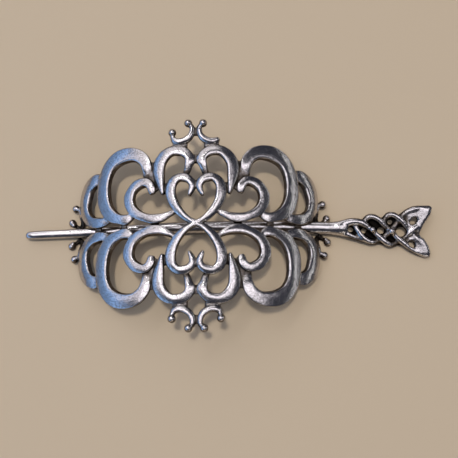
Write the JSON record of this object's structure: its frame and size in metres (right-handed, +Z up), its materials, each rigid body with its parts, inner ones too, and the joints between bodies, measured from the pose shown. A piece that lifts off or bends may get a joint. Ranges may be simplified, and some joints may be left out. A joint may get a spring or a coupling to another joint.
{
  "type": "hairpin",
  "caption": "Bent openwork hair slide with tip-to-tip hearts, scrolls and beaded crowns, held by a tapered stick with a pierced, braided fishtail head.",
  "frame": {"origin": "middle of the bounding box's base: on the table, half way along the stick, on the slide's lengthwise mirror line", "axes": "+X along the stick towards its braided head, +Y across the slide, +Z up from the table through the crown of the bend"},
  "size_m": [0.1556, 0.0782, 0.021],
  "materials": {
    "cast_slide_metal": "polished cast silver-coloured metal with dark oxidised recesses",
    "cast_stick_metal": "polished cast silver-coloured metal, darker in the braid's recesses"
  },
  "bodies": {
    "slide": {"slide_plate": "cast_slide_metal"},
    "stick": {"hair_stick": "cast_stick_metal"}
  },
  "joints": [
    {"name": "stick_pull", "type": "slide", "parent": "slide", "child": "stick", "axis": [1, 0, 0], "range_m": [-0.003, 0.12]}
  ]
}
